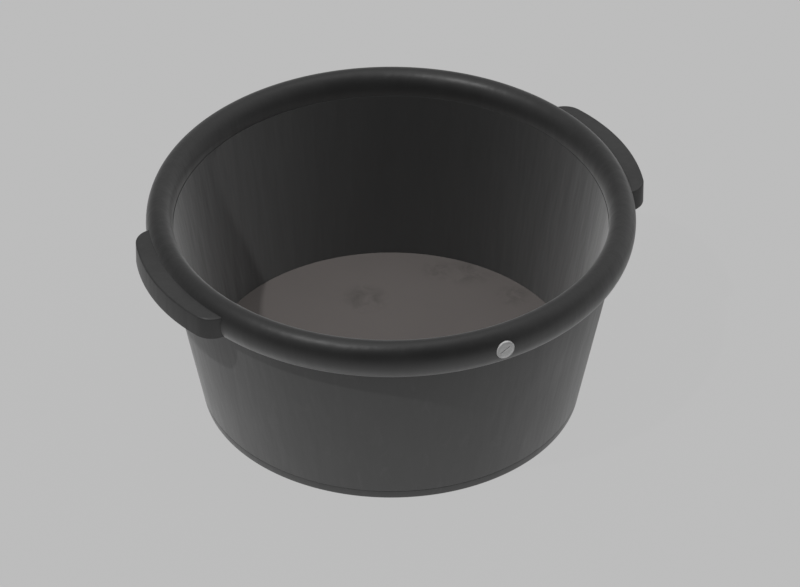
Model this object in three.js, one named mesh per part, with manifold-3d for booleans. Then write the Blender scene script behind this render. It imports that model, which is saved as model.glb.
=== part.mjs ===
// Round mortar mixing tub: a thick conical wall on a stepped foot ring, a floor disc that rests on the
// foot's step, a hollow rim bead stiffened by a steel hoop, two grips and a plug in the bead's front.
// Millimetres, +Z up. The origin is on the ground, under the middle of the tub. The grips are on the X
// axis and the plug faces -Y.

import * as THREE from 'three';
import { mergeVertices } from 'three/addons/utils/BufferGeometryUtils.js';
import Module from 'manifold-3d';

const wasm = await Module();
wasm.setup();

// Driving dimensions

const gap = 0.3; // play between pieces that touch
const segments = 72; // facets around the tub

const rimRadius = 300; // to the outermost line of the bead
const beadHalfWidth = 16.5; // the bead's section is an upright ellipse
const beadHalfHeight = 25;
const beadHeight = 252.2; // middle of the bead above the ground
const beadSkin = 4.5;
const beadRadius = rimRadius - beadHalfWidth; // to the middle of the bead's section

const baseRadius = 233; // outside of the foot at the ground
const outerSlope = 0.2022; // outward run of the outside for each unit of height
const innerSlope = 0.1738;
const footHeight = 12.2;
const footInnerRadius = 208;
const seamChamfer = 0.8;

const floorRadius = 229.2; // inside of the wall at the floor's top face
const floorHeight = 31.4;
const floorThickness = 6;

const wallTop = 246.6; // where the inside of the wall meets the bead

const hoopBarRadius = 5;
const hoopDrop = 12.5; // hoop's bar below the middle of the bead

const gripReach = 321; // from the tub's axis to the outer face of a grip
const gripArcRadius = 244;
const gripCornerRadius = 26.5;
const gripHalfLength = 100.9;
const gripTop = 264.4;
const gripBottom = 234.9;
const gripSideWall = 4.5;
const gripTopWall = 5;
const gripRibOffset = 56;
const gripRibThickness = 4;
const gripChamfer = 0.8;

const plugHeadRadius = 12;
const plugHeadThickness = 3;
const plugProud = 0.4; // head's face beyond the outermost line of the bead
const plugShankRadius = 6;
const plugLength = 14; // shank and barb behind the head
const plugBarb = 0.8;
const slotLength = 15;
const slotWidth = 1.8;
const slotDepth = 1.2;
const slotTilt = (28 * Math.PI) / 180; // rising toward +X

// Materials

const plastic = (color, roughness) => new THREE.MeshStandardMaterial({ color, roughness, metalness: 0 });
const blackPlastic = plastic(0x232323, 0.45);
const floorPlastic = plastic(0x4a4644, 0.6);
const greyPlastic = plastic(0x8f8f8f, 0.5);
const steel = new THREE.MeshStandardMaterial({ color: 0x9a9a98, roughness: 0.35, metalness: 1 });

// Solids

function toSolid(geometry) {
  const bare = geometry.index ? geometry.toNonIndexed() : geometry.clone();
  bare.deleteAttribute('normal');
  bare.deleteAttribute('uv');
  const merged = mergeVertices(bare, 1e-4);
  const index = merged.index.array;
  const corners = [];
  for (let i = 0; i < index.length; i += 3) {
    const [a, b, c] = index.slice(i, i + 3);
    if (a !== b && b !== c && c !== a) corners.push(a, b, c);
  }
  return new wasm.Manifold(new wasm.Mesh({
    numProp: 3,
    vertProperties: new Float32Array(merged.attributes.position.array),
    triVerts: new Uint32Array(corners),
  }));
}

function toGeometry(solid) {
  const mesh = solid.getMesh();
  const geometry = new THREE.BufferGeometry();
  geometry.setAttribute('position', new THREE.BufferAttribute(mesh.vertProperties, 3));
  geometry.setIndex(new THREE.BufferAttribute(mesh.triVerts, 1));
  geometry.computeVertexNormals();
  return geometry;
}

// A solid of revolution about Z. The outline's [radius, height] points run anticlockwise and the last
// one joins the first, unless both lie on the axis.
function turned(outline, facets = segments) {
  const points = outline.map(([radius, height]) => new THREE.Vector2(radius, height));
  const onAxis = outline[0][0] === 0 && outline[outline.length - 1][0] === 0;
  if (!onAxis) points.push(points[0].clone());
  return toSolid(new THREE.LatheGeometry(points, facets).rotateX(Math.PI / 2));
}

// A solid that stands on the plane at height bottom and has the plan outline of the shape.
function raised(shape, bottom, top, options = {}) {
  const depth = top - bottom;
  const geometry = new THREE.ExtrudeGeometry(shape, { bevelEnabled: false, depth, ...options });
  return toSolid(geometry.translate(0, 0, bottom));
}

function block(lengths, centre) {
  return toSolid(new THREE.BoxGeometry(...lengths).translate(...centre));
}

// Sections

const innerRadiusAt = (height) => floorRadius + (height - floorHeight) * innerSlope;
const outerRadiusAt = (height) => baseRadius + height * outerSlope;

function beadSection(count, inset) {
  const outline = [];
  for (let i = 0; i < count; i += 1) {
    const angle = ((i + 0.5) / count) * 2 * Math.PI;
    outline.push([
      beadRadius + (beadHalfWidth - inset) * Math.cos(angle),
      beadHeight + (beadHalfHeight - inset) * Math.sin(angle),
    ]);
  }
  return outline;
}

function barSection(radius, height, barRadius, count) {
  const outline = [];
  for (let i = 0; i < count; i += 1) {
    const angle = (i / count) * 2 * Math.PI;
    outline.push([radius + barRadius * Math.cos(angle), height + barRadius * Math.sin(angle)]);
  }
  return outline;
}

// Pieces

const beadFacets = 18;

// The outer step carries the wall, and the inner one stands up inside the wall and carries the floor.
function footRing() {
  const top = footHeight - gap / 2;
  const stepTop = floorHeight - floorThickness - gap;
  return turned([
    [footInnerRadius, 0],
    [outerRadiusAt(0), 0],
    [outerRadiusAt(top - seamChamfer), top - seamChamfer],
    [outerRadiusAt(top) - seamChamfer, top],
    [innerRadiusAt(top) - gap, top],
    [innerRadiusAt(stepTop) - gap, stepTop],
    [footInnerRadius, stepTop],
  ]);
}

// The wall's top is hollowed to the bead's round underside, which lies in it like a rail in a groove.
function tubWall() {
  const bottom = footHeight + gap / 2;
  const cone = turned([
    [innerRadiusAt(bottom), bottom],
    [outerRadiusAt(bottom) - seamChamfer, bottom],
    [outerRadiusAt(bottom + seamChamfer), bottom + seamChamfer],
    [outerRadiusAt(wallTop), wallTop],
    [innerRadiusAt(wallTop), wallTop],
  ]);
  return cone.subtract(turned(beadSection(beadFacets, -gap)));
}

function tubFloor() {
  const underside = floorHeight - floorThickness;
  return turned([
    [0, underside],
    [innerRadiusAt(underside) - gap, underside],
    [innerRadiusAt(floorHeight) - gap, floorHeight],
    [0, floorHeight],
  ]);
}

// A round bar along -Y, for the plug's seat, hole, head and shank; start and end are distances from
// the tub's axis.
function frontBar(radius, start, end, facets) {
  return toSolid(new THREE.CylinderGeometry(radius, radius, end - start, facets)
    .translate(0, -(start + end) / 2, beadHeight));
}

const plugFace = rimRadius + plugProud;
const plugSeat = plugFace - plugHeadThickness;

function rimBead() {
  const tube = turned(beadSection(beadFacets, 0)).subtract(turned(beadSection(10, beadSkin)));
  const seat = frontBar(plugHeadRadius + gap, plugSeat - gap, rimRadius + 5, 32);
  const hole = frontBar(plugShankRadius + gap, beadRadius, rimRadius, 24);
  return tube.subtract(seat).subtract(hole);
}

function rimHoop() {
  return turned(barSection(beadRadius, beadHeight - hoopDrop, hoopBarRadius, 8), 48);
}

function rimPlug() {
  const barbStart = plugSeat - plugLength;
  const barbEnd = rimRadius - beadSkin - 1.6;
  const head = frontBar(plugHeadRadius, plugSeat, plugFace, 32);
  const shank = frontBar(plugShankRadius, barbStart, plugSeat + 1, 24);
  const barb = toSolid(new THREE.CylinderGeometry(plugShankRadius + plugBarb, plugShankRadius - 1,
    barbEnd - barbStart, 24).rotateZ(Math.PI).translate(0, -(barbStart + barbEnd) / 2, beadHeight));
  const slot = toSolid(new THREE.BoxGeometry(slotLength, slotDepth * 2, slotWidth)
    .rotateY(-slotTilt).translate(0, -plugFace, beadHeight));
  return head.add(shank).add(barb).subtract(slot);
}

// Plan of a grip on +X, drawn inset by a margin: a long arc between two round corners.
function gripPlan(inset) {
  const arcCentre = gripReach - gripArcRadius;
  const cornerY = gripHalfLength - gripCornerRadius;
  const cornerX = arcCentre + Math.sqrt((gripArcRadius - gripCornerRadius) ** 2 - cornerY ** 2);
  const turn = Math.atan2(cornerY, cornerX - arcCentre);
  const cornerRadius = gripCornerRadius - inset;
  const innerX = beadRadius - 20;
  const shape = new THREE.Shape();
  shape.moveTo(innerX, inset - gripHalfLength);
  shape.absarc(cornerX, -cornerY, cornerRadius, -Math.PI / 2, -turn, false);
  shape.absarc(arcCentre, 0, gripArcRadius - inset, -turn, turn, false);
  shape.absarc(cornerX, cornerY, cornerRadius, turn, Math.PI / 2, false);
  shape.lineTo(innerX, gripHalfLength - inset);
  return shape;
}

// A shell open below, so that fingers close round its hanging side wall, and open to the bead, which
// it is welded to along its top and its two ends.
function grip() {
  const bevel = {
    bevelEnabled: true,
    bevelThickness: gripChamfer,
    bevelSize: gripChamfer,
    bevelOffset: -gripChamfer,
    bevelSegments: 1,
    curveSegments: 12,
  };
  const body = raised(gripPlan(0), gripBottom + gripChamfer, gripTop - gripChamfer, bevel);
  const hollow = { curveSegments: 12 };
  let pocket = raised(gripPlan(gripSideWall), gripBottom - 5, gripTop - gripTopWall, hollow);
  for (const side of [-1, 1]) {
    const rib = block([120, gripRibThickness, 60], [gripReach - 60, side * gripRibOffset, gripTop - 20]);
    pocket = pocket.subtract(rib);
  }
  const outerFlank = beadSection(beadFacets, -gap).filter(([radius]) => radius > beadRadius);
  const flank = outerFlank.sort((one, other) => one[1] - other[1]);
  const insideBead = turned([
    [beadRadius - 40, flank[0][1]],
    ...flank,
    [beadRadius - 40, flank[flank.length - 1][1]],
  ]);
  return body.subtract(pocket).subtract(insideBead);
}

function node(name, solid, material) {
  const mesh = new THREE.Mesh(toGeometry(solid), material);
  mesh.name = name;
  return mesh;
}

const tub = new THREE.Group();
tub.add(node('foot_ring', footRing(), blackPlastic));
tub.add(node('tub_wall', tubWall(), blackPlastic));
tub.add(node('tub_floor', tubFloor(), floorPlastic));
tub.add(node('rim_bead', rimBead(), blackPlastic));
tub.add(node('rim_hoop', rimHoop(), steel));
tub.add(node('rim_plug', rimPlug(), greyPlastic));

const rightGrip = node('grip_right', grip(), blackPlastic);
const leftGrip = node('grip_left', grip(), blackPlastic);
leftGrip.rotation.z = Math.PI;
tub.add(rightGrip, leftGrip);

export default tub;
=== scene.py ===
"""Looks of a round mortar mixing tub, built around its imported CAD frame.

Metres, +Z up, the origin on the ground under the middle of the tub. The grips are on the X axis and the
plug faces -Y. Every visible piece is a fine mesh that stands for a faceted CAD node; the steel hoop inside
the hollow rim keeps its CAD mesh.
"""
import math

import bmesh
import bpy
from mathutils import Matrix, Vector


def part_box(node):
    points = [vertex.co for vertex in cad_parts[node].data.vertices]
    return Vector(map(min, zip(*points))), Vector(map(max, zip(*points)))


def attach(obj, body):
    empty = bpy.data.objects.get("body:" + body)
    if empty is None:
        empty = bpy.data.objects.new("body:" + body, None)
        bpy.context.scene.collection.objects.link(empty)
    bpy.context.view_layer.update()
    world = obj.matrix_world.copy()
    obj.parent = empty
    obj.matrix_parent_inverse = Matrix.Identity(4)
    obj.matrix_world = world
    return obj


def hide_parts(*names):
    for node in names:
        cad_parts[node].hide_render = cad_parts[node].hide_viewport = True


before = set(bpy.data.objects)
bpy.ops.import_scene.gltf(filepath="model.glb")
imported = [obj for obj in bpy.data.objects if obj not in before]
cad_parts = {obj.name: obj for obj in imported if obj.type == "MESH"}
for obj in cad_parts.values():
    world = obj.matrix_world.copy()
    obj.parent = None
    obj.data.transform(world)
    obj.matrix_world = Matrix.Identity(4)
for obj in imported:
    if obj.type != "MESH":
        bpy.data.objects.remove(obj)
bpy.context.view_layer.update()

# ---------------------------------------------------------------------------
# Driving dimensions, from the frame's boxes where they give them
# ---------------------------------------------------------------------------

foot_low, foot_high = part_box("foot_ring")
wall_low, wall_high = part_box("tub_wall")
floor_low, floor_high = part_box("tub_floor")
bead_low, bead_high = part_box("rim_bead")
plug_low, plug_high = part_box("rim_plug")
grip_low, grip_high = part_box("grip_right")

SEGMENTS = 360  # around the tub
PLAY = 0.0003  # between pieces that touch
WELD_PLAY = 0.00012  # the finer line left at a weld
CUT_MARGIN = 0.005  # how far a cutting tool runs past the surface that it opens
AXIS_LIMIT = 0.00003  # a point nearer to a lathe's axis than this lies on it

RIM_RADIUS = 0.3
BEAD_HALF_WIDTH = 0.0165
BEAD_HALF_HEIGHT = (bead_high.z - bead_low.z) / 2
BEAD_HEIGHT = (bead_high.z + bead_low.z) / 2
BEAD_RADIUS = RIM_RADIUS - BEAD_HALF_WIDTH
BEAD_SKIN = 0.0045

BASE_RADIUS = 0.233
OUTER_SLOPE = 0.2022
FLOOR_RADIUS = 0.2292
INNER_SLOPE = 0.1738
FOOT_INNER_RADIUS = 0.208
FLOOR_TOP = floor_high.z
FLOOR_UNDERSIDE = floor_low.z
SEAM_HEIGHT = wall_low.z - PLAY / 2
SEAM_ROUNDING = 0.0005
FOOT_ROUNDING = 0.0022
FLOOR_ROUNDING = 0.0004

GRIP_REACH = grip_high.x
GRIP_ARC_RADIUS = 0.244
GRIP_CORNER_RADIUS = 0.0265
GRIP_HALF_LENGTH = grip_high.y
GRIP_TOP = grip_high.z
GRIP_BOTTOM = grip_low.z
GRIP_SIDE_WALL = 0.0045
GRIP_TOP_WALL = 0.005
GRIP_RIB_OFFSET = 0.056  # to each side of the grip's middle
GRIP_RIB_BLANK = (0.12, 0.004, 0.06)  # length, thickness and height before the pocket trims it
GRIP_RIB_DROP = 0.02  # from the grip's top to the middle of the blank
GRIP_TOP_ROUNDING = 0.0024
GRIP_BOTTOM_ROUNDING = 0.0012
GRIP_POCKET_ROUNDING = 0.0015
GRIP_ROOT_DEPTH = 0.02  # how far the grip's blank reaches in past the middle of the bead
BEAD_BLANK_DEPTH = 0.04  # how far the tool that shapes the grip's root reaches in
GRIP_ROOT_ANGLE = 80  # degrees of the bead's flank above and below its middle

PLUG_FACE = -plug_low.y
PLUG_HEAD_RADIUS = 0.012
PLUG_HEAD_THICKNESS = 0.003
PLUG_SHANK_RADIUS = 0.006
PLUG_LENGTH = 0.014  # shank and barb behind the head
PLUG_BARB = 0.0008  # how far the barb stands out from the shank
PLUG_BARB_DROP = 0.0016  # from the inside of the bead's skin to the barb
PLUG_TIP_TAPER = 0.001
PLUG_LIP_WIDTH = 0.0016
PLUG_LIP_SLOPE = 0.0006
PLUG_LIP_HEIGHT = 0.0006
PLUG_EDGE_ROUNDING = 0.0005  # the head's front edge
PLUG_LIP_ROUNDING = 0.0004
PLUG_BACK_ROUNDING = 0.0003  # the head's back edge and the tip
PLUG_BARB_ROUNDING = 0.0002
PLUG_SLOT = Vector((0.015, 0.0018, 0.0012))  # length, width, depth
PLUG_SLOT_TILT = math.radians(28)


def inner_radius(height):
    return FLOOR_RADIUS + (height - FLOOR_TOP) * INNER_SLOPE


def outer_radius(height):
    return BASE_RADIUS + height * OUTER_SLOPE


# ---------------------------------------------------------------------------
# Mesh tools
# ---------------------------------------------------------------------------


def rounded(corners, steps=6):
    """The outline of a polygon whose corners are (x, y, rounding), with an arc at each rounded corner."""
    outline = []
    for i, (x, y, rounding) in enumerate(corners):
        corner = Vector((x, y))
        if rounding == 0:
            outline.append(corner)
            continue
        to_previous = (Vector(corners[i - 1][:2]) - corner).normalized()
        to_next = (Vector(corners[(i + 1) % len(corners)][:2]) - corner).normalized()
        half_angle = to_previous.angle(to_next) / 2
        reach = rounding / math.tan(half_angle)
        centre = corner + (to_previous + to_next).normalized() * rounding / math.sin(half_angle)
        start = (corner + to_previous * reach - centre).normalized()
        end = (corner + to_next * reach - centre).normalized()
        for step in range(steps + 1):
            outline.append(centre + start.slerp(end, step / steps) * rounding)
    return outline


def ellipse(centre, half_width, half_height, start, end, steps):
    """Points on an upright ellipse from one angle to another, in degrees, both ends included."""
    points = []
    for step in range(steps + 1):
        angle = math.radians(start + (end - start) * step / steps)
        points.append(centre + Vector((half_width * math.cos(angle), half_height * math.sin(angle))))
    return points


def finish_mesh(name, shape):
    """Turns a bmesh into a new object with its faces pointing out."""
    bmesh.ops.recalc_face_normals(shape, faces=shape.faces)
    mesh = bpy.data.meshes.new(name)
    shape.to_mesh(mesh)
    shape.free()
    piece = bpy.data.objects.new(name, mesh)
    bpy.context.scene.collection.objects.link(piece)
    return piece


def lathe(name, outline, segments=SEGMENTS):
    """A solid of revolution about Z from a closed (radius, height) outline."""
    shape = bmesh.new()
    rings = []
    for radius, height in outline:
        if radius < AXIS_LIMIT:
            rings.append([shape.verts.new((0, 0, height))])
            continue
        ring = []
        for i in range(segments):
            turn = 2 * math.pi * i / segments
            ring.append(shape.verts.new((radius * math.cos(turn), radius * math.sin(turn), height)))
        rings.append(ring)
    for ring, following in zip(rings, rings[1:] + rings[:1]):
        if len(ring) == 1 and len(following) == 1:
            continue
        for i in range(segments):
            j = (i + 1) % segments
            corners = [ring[i % len(ring)], following[i % len(following)]]
            corners += [following[j % len(following)], ring[j % len(ring)]]
            shape.faces.new(list(dict.fromkeys(corners)))
    return finish_mesh(name, shape)


def prism(name, outline, bottom, top, bottom_rounding=0, top_rounding=0):
    """An upright solid over a closed plan outline, with rounded top and bottom edges."""
    shape = bmesh.new()
    lower = [shape.verts.new((x, y, bottom)) for x, y in outline]
    upper = [shape.verts.new((x, y, top)) for x, y in outline]
    faces = [shape.faces.new(lower), shape.faces.new(upper)]
    for i in range(len(outline)):
        j = (i + 1) % len(outline)
        shape.faces.new((lower[i], lower[j], upper[j], upper[i]))
    for face, rounding in zip(faces, (bottom_rounding, top_rounding)):
        if rounding:
            bmesh.ops.bevel(
                shape, geom=list(face.edges), offset=rounding, segments=6, profile=0.5, affect="EDGES"
            )
    return finish_mesh(name, shape)


def box(name, lengths, centre):
    """A plain block, for trimming or cutting another piece."""
    x, y = lengths[0] / 2, lengths[1] / 2
    plan = [(-x, -y), (x, -y), (x, y), (-x, y)]
    piece = prism(name, plan, -lengths[2] / 2, lengths[2] / 2)
    piece.data.transform(Matrix.Translation(centre))
    return piece


def cut(piece, *tools):
    """Cuts the tools out of the piece and removes them."""
    for tool in tools:
        modifier = piece.modifiers.new("cut", "BOOLEAN")
        modifier.operation = "DIFFERENCE"
        modifier.solver = "EXACT"
        modifier.object = tool
    depsgraph = bpy.context.evaluated_depsgraph_get()
    made = bpy.data.meshes.new_from_object(piece.evaluated_get(depsgraph))
    old = piece.data
    piece.modifiers.clear()
    piece.data = made
    made.name = piece.name
    bpy.data.meshes.remove(old)
    for tool in tools:
        mesh = tool.data
        bpy.data.objects.remove(tool)
        bpy.data.meshes.remove(mesh)
    return piece


def smooth(piece, angle=32):
    """Smooth shading, with edges sharper than the angle in degrees left crisp."""
    piece.data.shade_smooth()
    piece.data.set_sharp_from_angle(angle=math.radians(angle))
    return piece


def to_front(piece):
    """Turns a piece lathed about Z so that its height runs outward along -Y at the bead's height."""
    turn = Matrix.Rotation(math.pi / 2, 4, "X")
    piece.data.transform(Matrix.Translation((0, 0, BEAD_HEIGHT)) @ turn)
    return piece


# ---------------------------------------------------------------------------
# Pieces
# ---------------------------------------------------------------------------


def bead_outline(inset, steps=96):
    """The bead's upright elliptical section, inset by a margin."""
    centre = Vector((BEAD_RADIUS, BEAD_HEIGHT))
    return ellipse(centre, BEAD_HALF_WIDTH - inset, BEAD_HALF_HEIGHT - inset, 0, 360, steps)[:-1]


def make_foot():
    """The stepped foot: the outer step carries the wall and the inner one carries the floor."""
    top = SEAM_HEIGHT - WELD_PLAY / 2
    step = foot_high.z
    outline = rounded([
        (FOOT_INNER_RADIUS, 0, FOOT_ROUNDING / 2),
        (outer_radius(0), 0, FOOT_ROUNDING),
        (outer_radius(top), top, SEAM_ROUNDING),
        (inner_radius(top) - PLAY, top, 0),
        (inner_radius(step) - PLAY, step, 0),
        (FOOT_INNER_RADIUS, step, 0),
    ])
    return smooth(lathe("foot", outline))


def make_wall():
    """The thick conical wall, whose top lies against the bead's round underside."""
    bottom = SEAM_HEIGHT + WELD_PLAY / 2
    top = wall_high.z
    underside = [
        point for point in reversed(bead_outline(-WELD_PLAY, 720))
        if point.y < top and inner_radius(point.y) < point.x < outer_radius(point.y)
    ]
    outline = rounded([
        (inner_radius(bottom), bottom, 0),
        (outer_radius(bottom), bottom, SEAM_ROUNDING),
        (*underside[0], 0),
    ])
    # Fine steps at both ends bring the groove close to the wall's faces, and coarse ones do between them.
    outline += underside[1::6]
    outline += [underside[-1], Vector((inner_radius(top), top))]
    return smooth(lathe("wall", outline))


def make_floor():
    """The floor disc, which rests on the foot's inner step."""
    outline = rounded([
        (0, FLOOR_UNDERSIDE, 0),
        (inner_radius(FLOOR_UNDERSIDE) - PLAY, FLOOR_UNDERSIDE, FLOOR_ROUNDING),
        (inner_radius(FLOOR_TOP) - PLAY, FLOOR_TOP, FLOOR_ROUNDING),
        (0, FLOOR_TOP, 0),
    ])
    return smooth(lathe("floor", outline))


def front_bar(name, radius, start, end, segments):
    """A round bar along -Y at the bead's height, between two distances from the tub's axis."""
    outline = [Vector((0, start)), Vector((radius, start)), Vector((radius, end)), Vector((0, end))]
    return to_front(lathe(name, outline, segments))


def make_bead():
    """The hollow rolled bead, with the plug's seat and hole at the front."""
    bead = lathe("rim", bead_outline(0))
    cavity = lathe("cavity", bead_outline(BEAD_SKIN, 32), SEGMENTS // 2)
    seat_floor = PLUG_FACE - PLUG_HEAD_THICKNESS - PLAY
    seat_radius = PLUG_HEAD_RADIUS + PLAY
    seat = front_bar("seat", seat_radius, seat_floor, RIM_RADIUS + CUT_MARGIN, 64)
    hole = front_bar("hole", PLUG_SHANK_RADIUS + PLAY, BEAD_RADIUS, RIM_RADIUS, 48)
    return smooth(cut(bead, cavity, seat, hole))


def make_plug():
    """The plug: a dished head with a raised lip and a slot, and a shank with a snap barb."""
    seat = PLUG_FACE - PLUG_HEAD_THICKNESS
    barb_end = RIM_RADIUS - BEAD_SKIN - PLUG_BARB_DROP
    tip = seat - PLUG_LENGTH
    face = PLUG_FACE - PLUG_LIP_HEIGHT
    lip_radius = PLUG_HEAD_RADIUS - PLUG_LIP_WIDTH
    outline = rounded([
        (0, tip, 0),
        (PLUG_SHANK_RADIUS - PLUG_TIP_TAPER, tip, PLUG_BACK_ROUNDING),
        (PLUG_SHANK_RADIUS + PLUG_BARB, barb_end, PLUG_BARB_ROUNDING),
        (PLUG_SHANK_RADIUS, barb_end, 0),
        (PLUG_SHANK_RADIUS, seat, 0),
        (PLUG_HEAD_RADIUS, seat, PLUG_BACK_ROUNDING),
        (PLUG_HEAD_RADIUS, PLUG_FACE, PLUG_EDGE_ROUNDING),
        (lip_radius, PLUG_FACE, PLUG_LIP_ROUNDING),
        (lip_radius - PLUG_LIP_SLOPE, face, PLUG_LIP_ROUNDING),
        (0, face, 0),
    ])
    plug = to_front(lathe("plug", outline, 96))
    length, width, depth = PLUG_SLOT
    slot = box("slot", (length, 2 * depth, width), (0, 0, 0))
    slot.data.transform(Matrix.Rotation(-PLUG_SLOT_TILT, 4, "Y"))
    slot.data.transform(Matrix.Translation((0, -face, BEAD_HEIGHT)))
    return smooth(cut(plug, slot), 28)


def grip_plan(inset):
    """Plan of a grip on +X: a long arc between two round corners, inset by a margin."""
    arc_centre = Vector((GRIP_REACH - GRIP_ARC_RADIUS, 0))
    corner_y = GRIP_HALF_LENGTH - GRIP_CORNER_RADIUS
    spread = GRIP_ARC_RADIUS - GRIP_CORNER_RADIUS
    corner_x = arc_centre.x + math.sqrt(spread ** 2 - corner_y ** 2)
    turn = math.degrees(math.atan2(corner_y, corner_x - arc_centre.x))
    corner_radius = GRIP_CORNER_RADIUS - inset
    arc_radius = GRIP_ARC_RADIUS - inset
    inner_x = BEAD_RADIUS - GRIP_ROOT_DEPTH
    near = ellipse(Vector((corner_x, -corner_y)), corner_radius, corner_radius, -90, -turn, 18)
    side = ellipse(arc_centre, arc_radius, arc_radius, -turn, turn, 60)
    far = ellipse(Vector((corner_x, corner_y)), corner_radius, corner_radius, turn, 90, 18)
    inner = [Vector((inner_x, GRIP_HALF_LENGTH - inset)), Vector((inner_x, inset - GRIP_HALF_LENGTH))]
    return near + side[1:-1] + far + inner


def make_grip(name, turn):
    """A shell open below, welded to the bead along its top and its two ends."""
    grip = prism(name, grip_plan(0), GRIP_BOTTOM, GRIP_TOP, GRIP_BOTTOM_ROUNDING, GRIP_TOP_ROUNDING)
    pocket_plan = grip_plan(GRIP_SIDE_WALL)
    pocket_bottom = GRIP_BOTTOM - CUT_MARGIN
    pocket = prism("pocket", pocket_plan, pocket_bottom, GRIP_TOP - GRIP_TOP_WALL, 0, GRIP_POCKET_ROUNDING)
    ribs = []
    for side in (-1, 1):
        rib_x = GRIP_REACH - GRIP_RIB_BLANK[0] / 2
        ribs.append(box("rib", GRIP_RIB_BLANK, (rib_x, side * GRIP_RIB_OFFSET, GRIP_TOP - GRIP_RIB_DROP)))
    cut(pocket, *ribs)
    half_width = BEAD_HALF_WIDTH + WELD_PLAY
    half_height = BEAD_HALF_HEIGHT + WELD_PLAY
    centre = Vector((BEAD_RADIUS, BEAD_HEIGHT))
    flank = ellipse(centre, half_width, half_height, -GRIP_ROOT_ANGLE, GRIP_ROOT_ANGLE, 48)
    inner = BEAD_RADIUS - BEAD_BLANK_DEPTH
    inside_bead = lathe("inside_bead", [Vector((inner, flank[0].y)), *flank, Vector((inner, flank[-1].y))])
    cut(grip, pocket, inside_bead)
    grip.data.transform(Matrix.Rotation(turn, 4, "Z"))
    return smooth(grip)


# ---------------------------------------------------------------------------
# Materials
# ---------------------------------------------------------------------------

BLACK_TONES = (0.02, 0.025, 0.029, 0.039)  # deep, plain, worn and scuffed
ROUGHNESS_SPREAD = 0.03  # to each side, twice: once with the clouds and once with the flow marks
FLOOR_PLAIN = (0.139, 0.1265, 0.1215)
FLOOR_PALE = (0.146, 0.133, 0.1275)
FLOOR_DARK = (0.105, 0.097, 0.092)
FLOOR_SMUDGES = (  # the (x, y) of each one's middle, and its radius
    ((0.14, 0.142), 0.024),
    ((0.172, 0.122), 0.034),
    ((0.031, 0.131), 0.034),
    ((0.2, 0.052), 0.026),
)
PLUG_PLAIN = (0.56, 0.56, 0.56)
PLUG_PALE = (0.65, 0.65, 0.65)
PLUG_DARK = (0.38, 0.38, 0.38)
STEEL_DULL = (0.42, 0.42, 0.41)
STEEL_BRIGHT = (0.56, 0.56, 0.55)
STEEL_RUST = (0.18, 0.08, 0.035)


class Nodes:
    """A small helper that adds and links the nodes of one tree."""

    def __init__(self, tree):
        self.tree = tree

    def add(self, kind):
        return self.tree.nodes.new(kind)

    def link(self, source, target):
        self.tree.links.new(source, target)

    def math(self, operation, first, second):
        node = self.add("ShaderNodeMath")
        node.operation = operation
        for value, socket in zip((first, second), node.inputs):
            if isinstance(value, (int, float)):
                socket.default_value = value
            else:
                self.link(value, socket)
        return node.outputs["Value"]

    def vector(self, operation, first, second):
        node = self.add("ShaderNodeVectorMath")
        node.operation = operation
        self.link(first, node.inputs[0])
        node.inputs[1].default_value = second
        return node.outputs["Value"]

    def seen_or_lit(self, seen, lit):
        """One number for what the camera sees, and another for the light that reaches the tub."""
        camera = self.add("ShaderNodeLightPath").outputs["Is Camera Ray"]
        hidden = self.math("SUBTRACT", 1, camera)
        return self.math("ADD", self.math("MULTIPLY", camera, seen), self.math("MULTIPLY", hidden, lit))


class Finish(Nodes):
    """The nodes of a new material."""

    def __init__(self, name):
        self.material = bpy.data.materials.new(name)
        self.material.use_nodes = True
        super().__init__(self.material.node_tree)
        self.shader = self.tree.nodes["Principled BSDF"]
        self.place = self.add("ShaderNodeTexCoord").outputs["Object"]

    def stretched(self, stretch):
        mapping = self.add("ShaderNodeMapping")
        mapping.inputs["Scale"].default_value = stretch
        self.link(self.place, mapping.inputs["Vector"])
        return mapping.outputs["Vector"]

    def noise(self, scale, detail=4, roughness=0.55, stretch=None, distortion=0):
        node = self.add("ShaderNodeTexNoise")
        node.inputs["Scale"].default_value = scale
        node.inputs["Detail"].default_value = detail
        node.inputs["Roughness"].default_value = roughness
        node.inputs["Distortion"].default_value = distortion
        self.link(self.stretched(stretch) if stretch else self.place, node.inputs["Vector"])
        return node.outputs["Fac"]

    def remap(self, value, low, high, to_low, to_high):
        """Brings a number from one range to another and stops it at both ends."""
        node = self.add("ShaderNodeMapRange")
        node.inputs["From Min"].default_value = low
        node.inputs["From Max"].default_value = high
        node.inputs["To Min"].default_value = to_low
        node.inputs["To Max"].default_value = to_high
        self.link(value, node.inputs["Value"])
        return node.outputs["Result"]

    def mix(self, share, first, second):
        """A colour between two; each is a colour socket or an (r, g, b) tuple."""
        node = self.add("ShaderNodeMix")
        node.data_type = "RGBA"
        self.link(share, node.inputs["Factor"])
        for value, socket in zip((first, second), (node.inputs[6], node.inputs[7])):
            if isinstance(value, tuple):
                socket.default_value = (*value, 1)
            else:
                self.link(value, socket)
        return node.outputs[2]

    def bump(self, height, strength, distance, before=None):
        node = self.add("ShaderNodeBump")
        node.inputs["Strength"].default_value = strength
        node.inputs["Distance"].default_value = distance
        self.link(height, node.inputs["Height"])
        if before:
            self.link(before, node.inputs["Normal"])
        return node.outputs["Normal"]

    def set(self, **values):
        """Sets the shader's own sockets, so specular_ior_level=1 sets Specular IOR Level to 1."""
        for name, value in values.items():
            socket = self.shader.inputs[name.replace("_", " ").title().replace("Ior", "IOR")]
            socket.default_value = value


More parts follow.
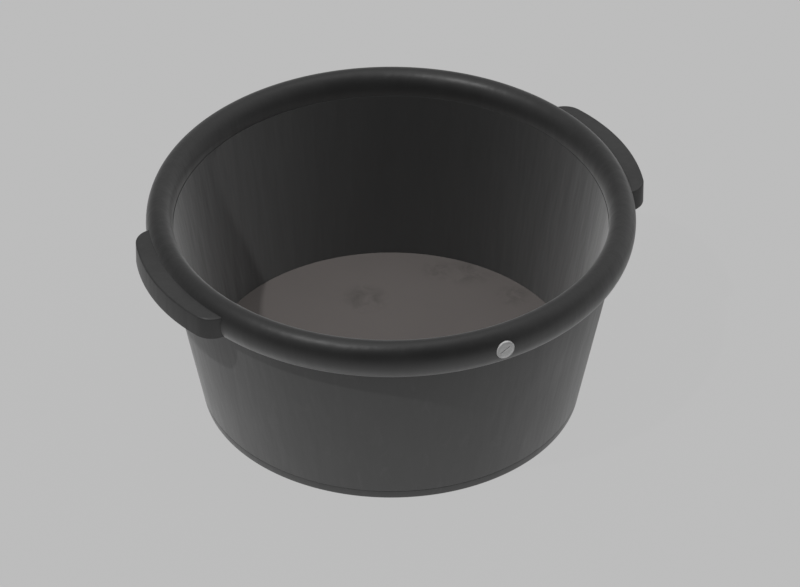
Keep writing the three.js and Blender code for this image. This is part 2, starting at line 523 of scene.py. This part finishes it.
def black_plastic(name, painted_shade_scale, roughness, sheen, sheen_roughness):
    """Black moulded plastic with faint upright flow and draw marks, scuffs and a fine grain.

    The shade scale makes all its tones lighter or darker; its darker copies on the bead and inside the
    wall are painted shade.
    """
    nodes = Finish(name)
    deep, plain, worn, scuffed = ((painted_shade_scale * tone,) * 3 for tone in BLACK_TONES)
    flow = nodes.noise(38, 3, stretch=(1, 1, 0.06))
    cloud = nodes.noise(9, 4)
    scuff = nodes.noise(70, 6, 0.7, stretch=(1, 1, 0.35), distortion=0.6)
    tone = nodes.mix(nodes.remap(flow, 0.35, 0.65, 0, 1), deep, plain)
    tone = nodes.mix(nodes.remap(cloud, 0.4, 0.7, 0, 0.5), tone, worn)
    tone = nodes.mix(nodes.remap(scuff, 0.55, 0.85, 0, 1), tone, scuffed)
    nodes.link(tone, nodes.shader.inputs["Base Color"])
    cloudy = nodes.remap(cloud, 0.3, 0.7, roughness - ROUGHNESS_SPREAD, roughness + ROUGHNESS_SPREAD)
    rough = nodes.math("ADD", cloudy, nodes.remap(flow, 0.3, 0.7, -ROUGHNESS_SPREAD, ROUGHNESS_SPREAD))
    nodes.link(rough, nodes.shader.inputs["Roughness"])
    grain = nodes.bump(nodes.noise(1400, 2), 0.12, 0.0002)
    waves = nodes.bump(nodes.noise(16, 2, stretch=(1, 1, 0.2)), 0.25, 0.0006, grain)
    draw_marks = nodes.bump(nodes.noise(50, 2, stretch=(1, 1, 0.05)), 0.7, 0.0012, waves)
    nodes.link(draw_marks, nodes.shader.inputs["Normal"])
    nodes.set(sheen_weight=sheen, sheen_roughness=sheen_roughness)
    return nodes.material


def floor_plastic():
    """The floor: the same plastic under a thin warm grey film, with a few faint darker smudges."""
    nodes = Finish("floor_film")
    cloud = nodes.noise(7, 4)
    smudge = nodes.noise(45, 5, 0.6, distortion=0.8)
    speck = nodes.noise(240, 4, 0.7)
    tone = nodes.mix(nodes.remap(cloud, 0.35, 0.7, 0, 1), FLOOR_PLAIN, FLOOR_PALE)
    spots = 0
    for (x, y), radius in FLOOR_SMUDGES:
        distance = nodes.vector("DISTANCE", nodes.place, (x, y, FLOOR_TOP))
        spots = nodes.math("MAXIMUM", nodes.remap(distance, radius / 3, radius, 1, 0), spots)
    dirt = nodes.math("MULTIPLY", spots, nodes.remap(smudge, 0.4, 0.6, 0, 0.9))
    tone = nodes.mix(dirt, tone, FLOOR_DARK)
    tone = nodes.mix(nodes.remap(speck, 0.62, 0.75, 0, 0.4), tone, FLOOR_DARK)
    nodes.link(tone, nodes.shader.inputs["Base Color"])
    nodes.link(nodes.remap(cloud, 0.3, 0.7, 0.6, 0.75), nodes.shader.inputs["Roughness"])
    grain = nodes.bump(nodes.noise(900, 3), 0.15, 0.0002)
    dents = nodes.bump(nodes.noise(22, 2), 0.2, 0.0006, grain)
    nodes.link(dents, nodes.shader.inputs["Normal"])
    nodes.set(specular_ior_level=0.15)
    return nodes.material


def plug_plastic():
    """Light grey moulded plastic with a stippled face."""
    nodes = Finish("pale_grey")
    cloud = nodes.noise(260, 3)
    speck = nodes.noise(900, 4, 0.7)
    tone = nodes.mix(nodes.remap(cloud, 0.35, 0.65, 0, 1), PLUG_PLAIN, PLUG_PALE)
    tone = nodes.mix(nodes.remap(speck, 0.55, 0.7, 0, 0.6), tone, PLUG_DARK)
    nodes.link(tone, nodes.shader.inputs["Base Color"])
    nodes.link(nodes.remap(cloud, 0.3, 0.7, 0.38, 0.5), nodes.shader.inputs["Roughness"])
    stipple = nodes.add("ShaderNodeTexVoronoi")
    stipple.inputs["Scale"].default_value = 900
    nodes.link(nodes.place, stipple.inputs["Vector"])
    nodes.link(nodes.bump(stipple.outputs["Distance"], 0.4, 0.0002), nodes.shader.inputs["Normal"])
    nodes.set(specular_ior_level=0.4)
    return nodes.material


def hoop_steel():
    """Bare drawn steel with fine lines along the bar and a few rust freckles."""
    nodes = Finish("drawn_steel")
    lines = nodes.noise(500, 3, stretch=(1, 1, 6))
    rust = nodes.noise(60, 5, 0.65)
    tone = nodes.mix(nodes.remap(lines, 0.3, 0.7, 0, 1), STEEL_DULL, STEEL_BRIGHT)
    tone = nodes.mix(nodes.remap(rust, 0.62, 0.7, 0, 0.8), tone, STEEL_RUST)
    nodes.link(tone, nodes.shader.inputs["Base Color"])
    nodes.link(nodes.remap(rust, 0.5, 0.7, 0.32, 0.75), nodes.shader.inputs["Roughness"])
    nodes.link(nodes.bump(lines, 0.2, 0.0001), nodes.shader.inputs["Normal"])
    nodes.set(metallic=1.0)
    return nodes.material


def line_inside(piece, material):
    """Gives the faces that look toward the tub's axis a second material, a darker copy of the plastic that
    paints shade inside the tub.
    """
    piece.data.materials.append(material)
    for face in piece.data.polygons:
        if face.center.xy.dot(face.normal.xy) < 0:
            face.material_index = 1


# ---------------------------------------------------------------------------
# Assembly
# ---------------------------------------------------------------------------

satin = black_plastic("satin_black", painted_shade_scale=1.25, roughness=0.45, sheen=0.2, sheen_roughness=0.5)
# The bead's copy of the plastic has much darker tones than the wall's: painted shade.
rim = black_plastic("rim_black_painted_shade", painted_shade_scale=0.32, roughness=0.45, sheen=0.44, sheen_roughness=0.5)
pieces = [
    (make_foot(), satin, "black_plastic", "foot_ring"),
    (make_wall(), satin, "black_plastic", "tub_wall"),
    (make_floor(), floor_plastic(), "floor_plastic", "tub_floor"),
    (make_bead(), rim, "black_plastic", "rim_bead"),
    (make_plug(), plug_plastic(), "plug_plastic", "rim_plug"),
    (make_grip("grip_at_right", 0), satin, "black_plastic", "grip_right"),
    (make_grip("grip_at_left", math.pi), satin, "black_plastic", "grip_left"),
]
for piece, material, slot, node in pieces:
    piece.data.materials.clear()
    piece.data.materials.append(material)
    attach(piece, "root")
    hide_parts(node)
# The inside of the wall gets a glossier copy with much darker tones: painted shade inside the tub.
polished_painted_shade = black_plastic("polished_black_painted_shade", painted_shade_scale=0.2, roughness=0.36, sheen=0.68, sheen_roughness=0.53)
line_inside(bpy.data.objects["wall"], polished_painted_shade)
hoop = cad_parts["rim_hoop"]
hoop.data.materials.clear()
hoop.data.materials.append(hoop_steel())

# ---------------------------------------------------------------------------
# Studio: a plain pale floor, soft glows overhead, at the left, at the right and behind, and one soft lamp
# ---------------------------------------------------------------------------

CAMERA_TURN = math.radians(27.22)  # the camera's place, from -Y toward -X
CAMERA_DISTANCE = 7.9006  # level distance from the tub's axis
CAMERA_HEIGHT = 6.0395
CAMERA_YAW = math.radians(27.30)
CAMERA_PITCH = 0.6416  # radians below level
CAMERA_LENS = 360
CAMERA_SENSOR = 36
CAMERA_FAR_LIMIT = 100

# Level directions from the tub as the camera sees them
CAMERA_LEFT = Vector((-math.cos(CAMERA_TURN), math.sin(CAMERA_TURN), 0))
CAMERA_BACK = Vector((math.sin(CAMERA_TURN), math.cos(CAMERA_TURN), 0))
LEFT_GLOW_TURN = math.radians(25)  # from the left toward the camera
LEFT_GLOW_SIDE = CAMERA_LEFT * math.cos(LEFT_GLOW_TURN) - CAMERA_BACK * math.sin(LEFT_GLOW_TURN)

BACKDROP = 0.508  # the plain grey that the camera sees as the floor and above it
STUDIO_SIZE = 60
OVERHEAD_GLOW = 1.47
OVERHEAD_FOCUS = 8  # a higher power keeps the glow closer to straight up
LEFT_HIGH_GLOW = 1.35
LEFT_LOW_GLOW = 0.1
RIGHT_HIGH_GLOW = 1.95
BACK_HIGH_GLOW = 0.75
FLOOR_GLOW = 0.62  # the pale floor in front of the tub
FLOOR_GLOW_RADIUS = 0.7  # where the glow has fallen to half
FLOOR_GLOW_REACH = 0.25  # from the tub's axis toward the camera
FLOOR_SHADE_SHARE = 0.02  # how much of what the camera sees of the floor is lit by the studio
FLOOR_OPEN_LIGHT = 0.85  # how brightly the studio lights a white patch of open floor
SUN_STRENGTH = 1
SUN_ANGLE = math.radians(1.5)
SUN_TRAVEL = math.radians(70)  # direction of travel, turned from +Y toward +X
SUN_ELEVATION = math.radians(56)


def make_ground():
    """The studio floor: plain grey to the camera, and a pale glow in front of the tub to other rays."""
    half = STUDIO_SIZE / 2
    mesh = bpy.data.meshes.new("ground")
    corners = [(-half, -half, -PLAY), (half, -half, -PLAY), (half, half, -PLAY), (-half, half, -PLAY)]
    mesh.from_pydata(corners, [], [(0, 1, 2, 3)])
    ground = bpy.data.objects.new("ground", mesh)
    bpy.context.scene.collection.objects.link(ground)
    nodes = Finish("pale_floor")
    distance = nodes.vector("DISTANCE", nodes.place, -CAMERA_BACK * FLOOR_GLOW_REACH)
    fall = nodes.math("POWER", nodes.math("DIVIDE", distance, FLOOR_GLOW_RADIUS), 4)
    glow = nodes.math("DIVIDE", FLOOR_GLOW, nodes.math("ADD", fall, 1))
    seen = BACKDROP - FLOOR_SHADE_SHARE * FLOOR_OPEN_LIGHT
    nodes.link(nodes.seen_or_lit(seen, glow), nodes.shader.inputs["Emission Strength"])
    nodes.shader.inputs["Emission Color"].default_value = (1, 1, 1, 1)
    nodes.shader.inputs["Base Color"].default_value = (FLOOR_SHADE_SHARE,) * 3 + (1,)
    nodes.set(specular_ior_level=0, roughness=1)
    ground.data.materials.append(nodes.material)


def make_sky():
    """The camera sees plain grey, and the tub is lit from overhead, both sides and behind."""
    world = bpy.data.worlds.new("studio")
    world.use_nodes = True
    nodes = Nodes(world.node_tree)
    direction = nodes.add("ShaderNodeTexCoord").outputs["Generated"]
    up = nodes.math("MAXIMUM", nodes.vector("DOT_PRODUCT", direction, (0, 0, 1)), 0)
    lit = nodes.math("MULTIPLY", nodes.math("POWER", up, OVERHEAD_FOCUS), OVERHEAD_GLOW)
    low = nodes.math("POWER", nodes.math("SUBTRACT", 1, up), 2)
    for side, high_glow, low_glow in (
        (LEFT_GLOW_SIDE, LEFT_HIGH_GLOW, LEFT_LOW_GLOW),
        (-CAMERA_LEFT, RIGHT_HIGH_GLOW, 0),
        (CAMERA_BACK, BACK_HIGH_GLOW, 0),
    ):
        toward = nodes.math("MAXIMUM", nodes.vector("DOT_PRODUCT", direction, side), 0)
        high = nodes.math("MULTIPLY", up, high_glow)
        glow = nodes.math("ADD", high, nodes.math("MULTIPLY", low, low_glow))
        lit = nodes.math("ADD", lit, nodes.math("MULTIPLY", nodes.math("POWER", toward, 2), glow))
    background = world.node_tree.nodes["Background"]
    background.inputs["Color"].default_value = (1, 1, 1, 1)
    nodes.link(nodes.seen_or_lit(BACKDROP, lit), background.inputs["Strength"])
    bpy.context.scene.world = world


def make_sun():
    lamp = bpy.data.lights.new("key", "SUN")
    lamp.energy = SUN_STRENGTH
    lamp.angle = SUN_ANGLE
    level = math.cos(SUN_ELEVATION)
    travel = Vector((level * math.sin(SUN_TRAVEL), level * math.cos(SUN_TRAVEL), -math.sin(SUN_ELEVATION)))
    key = bpy.data.objects.new("key", lamp)
    key.rotation_euler = travel.to_track_quat("-Z", "Y").to_euler()
    bpy.context.scene.collection.objects.link(key)


def make_camera():
    lens = bpy.data.cameras.new("camera")
    lens.lens = CAMERA_LENS
    lens.sensor_width = CAMERA_SENSOR
    lens.clip_end = CAMERA_FAR_LIMIT
    camera = bpy.data.objects.new("camera", lens)
    camera.location = (
        -CAMERA_DISTANCE * math.sin(CAMERA_TURN),
        -CAMERA_DISTANCE * math.cos(CAMERA_TURN),
        CAMERA_HEIGHT,
    )
    level = math.cos(CAMERA_PITCH)
    forward_x = level * math.sin(CAMERA_YAW)
    forward_y = level * math.cos(CAMERA_YAW)
    forward = Vector((forward_x, forward_y, -math.sin(CAMERA_PITCH)))
    camera.rotation_euler = forward.to_track_quat("-Z", "Y").to_euler()
    bpy.context.scene.collection.objects.link(camera)
    bpy.context.scene.camera = camera


make_ground()
make_sky()
make_sun()
make_camera()
bpy.context.scene.view_settings.view_transform = "Standard"
